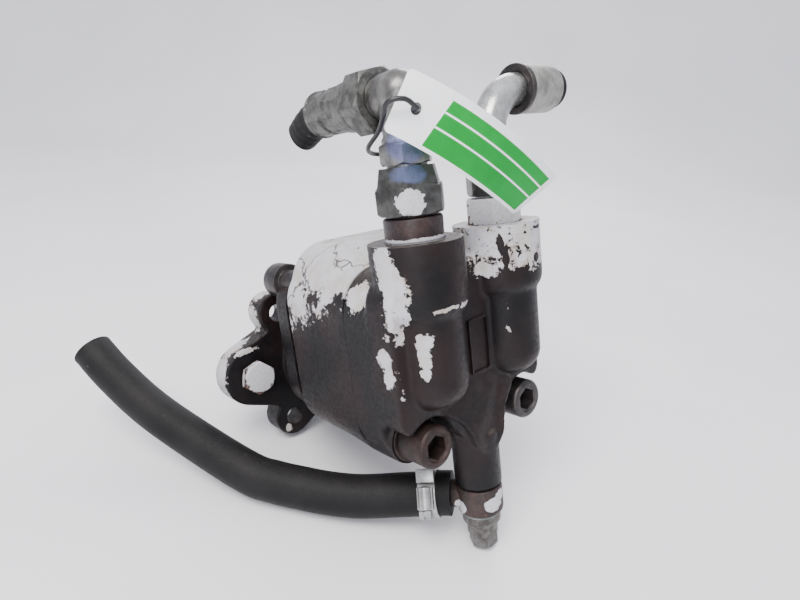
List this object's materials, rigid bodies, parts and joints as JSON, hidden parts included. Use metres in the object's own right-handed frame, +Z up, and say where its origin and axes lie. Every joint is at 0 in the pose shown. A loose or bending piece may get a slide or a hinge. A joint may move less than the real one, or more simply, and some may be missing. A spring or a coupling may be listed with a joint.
{
  "type": "hydraulic gear pump unit",
  "caption": "Cast-iron hydraulic gear unit with two top ports, fitted hose unions, a cap-screwed end cover, a two-bolt flange with keyed shaft and a case-drain hose on a banjo.",
  "frame": {"origin": "middle of the footprint of the unit without its drain hose, on the floor it rests on", "axes": "+Z up; +X from the left port towards the right port; the shaft points along +Y and down 15.6 degrees, because the unit leans back on its drain bolt and the two lower flange feet"},
  "size_m": [0.2821, 0.3064, 0.3041],
  "materials": {
    "cover_iron": "dark oily cast iron with purple-brown tint and remains of white paint",
    "housing_iron": "light grey paint on top, crazed and chipped to dark grey-brown iron below",
    "flange_iron": "dark brown cast iron, light grey paint left on the rim",
    "painted_bolt": "white paint over rust",
    "ground_steel": "ground, lightly oiled",
    "block_aluminium": "machined",
    "bronze": "bored bronze",
    "seal_rubber": "smooth black rubber",
    "dark_steel": "blackened steel, oily",
    "rusty_screw": "brown rusty steel",
    "dirty_adaptor": "dark oily steel",
    "union_nut_steel": "dark grey-green steel with a pale worn patch",
    "elbow_zinc": "grimy zinc with a blue-violet sheen and brown rust",
    "grimy_zinc": "dirty dull zinc",
    "hose_rubber": "black rubber, dusty and scuffed",
    "painted_adaptor": "chipped white paint over brown steel",
    "bright_zinc": "bright zinc, slightly blue",
    "pale_zinc": "pale dull zinc with brownish streaks",
    "washer_zinc": "grey-green zinc",
    "banjo_steel": "brown rusty steel with chips of white paint",
    "bolt_zinc": "silver steel with rust above",
    "clamp_steel": "bright zinc-plated steel",
    "tag_card": "white coated card with a plain green panel",
    "tie_plastic": "black nylon"
  },
  "bodies": {
    "unit": {"banjo_bolt": "bolt_zinc", "banjo_fitting": "banjo_steel", "bearing_block_cover_side": "block_aluminium", "bearing_block_flange_side": "block_aluminium", "bush_drive_cover_side": "bronze", "bush_drive_flange_side": "bronze", "bush_idler_cover_side": "bronze", "bush_idler_flange_side": "bronze", "clamp_band": "clamp_steel", "clamp_housing": "clamp_steel", "cover_screw_left": "rusty_screw", "cover_screw_right": "dark_steel", "cover_screw_washer_left": "rusty_screw", "cover_screw_washer_right": "dark_steel", "drain_hose": "hose_rubber", "drain_washer_lower": "washer_zinc", "drain_washer_upper": "washer_zinc", "elbow_left": "elbow_zinc", "end_cover": "cover_iron", "ferrule_left": "grimy_zinc", "ferrule_right": "pale_zinc", "flange_bolt_left": "painted_bolt", "flange_side_screw_left": "dark_steel", "flange_side_screw_right": "dark_steel", "gear_housing": "housing_iron", "hose_insert_left": "grimy_zinc", "hose_stub_left": "hose_rubber", "hose_stub_right": "hose_rubber", "mounting_flange": "flange_iron", "port_adaptor_left": "dirty_adaptor", "port_adaptor_right": "painted_adaptor", "seal_retaining_ring": "dark_steel", "shaft_seal": "seal_rubber", "stock_tag": "tag_card", "tag_cable_tie": "tie_plastic", "tube_collar_right": "dark_steel", "tube_right": "bright_zinc"},
    "drive_shaft": {"drive_gear_shaft": "ground_steel", "shaft_key": "ground_steel"},
    "idler_gear": {"driven_gear": "ground_steel"},
    "left_union_nut": {"union_nut_left": "union_nut_steel"},
    "left_swivel_nut": {"swivel_nut_left": "grimy_zinc"},
    "right_union_nut": {"union_nut_right": "union_nut_steel"},
    "clamp_worm": {"clamp_screw": "clamp_steel"}
  },
  "joints": [
    {"name": "shaft_turn", "type": "hinge", "parent": "unit", "child": "drive_shaft", "pos_m": [-0.0035, -0.09336, 0.10822], "axis": [0, 0.963, -0.2694], "continuous": true},
    {"name": "idler_turn", "type": "hinge", "parent": "unit", "child": "idler_gear", "pos_m": [-0.0035, -0.08043, 0.15445], "axis": [0, 0.963, -0.2694], "continuous": true},
    {"name": "left_union_nut_turn", "type": "hinge", "parent": "unit", "child": "left_union_nut", "pos_m": [-0.0365, -0.05834, 0.23342], "axis": [0, 0.2694, 0.963], "continuous": true},
    {"name": "left_swivel_nut_turn", "type": "hinge", "parent": "unit", "child": "left_swivel_nut", "pos_m": [-0.0365, -0.02041, 0.27992], "axis": [0, 0.963, -0.2694], "continuous": true},
    {"name": "right_union_nut_turn", "type": "hinge", "parent": "unit", "child": "right_union_nut", "pos_m": [0.033, -0.0578, 0.23534], "axis": [0, 0.2694, 0.963], "continuous": true},
    {"name": "clamp_screw_turn", "type": "hinge", "parent": "unit", "child": "clamp_worm", "pos_m": [-0.0388, -0.09556, 0.04217], "axis": [0.3315, 0.5615, 0.7581], "continuous": true}
  ],
  "couplings": [
    {"joint": "idler_turn", "follows": "shaft_turn", "ratio": -1}
  ]
}
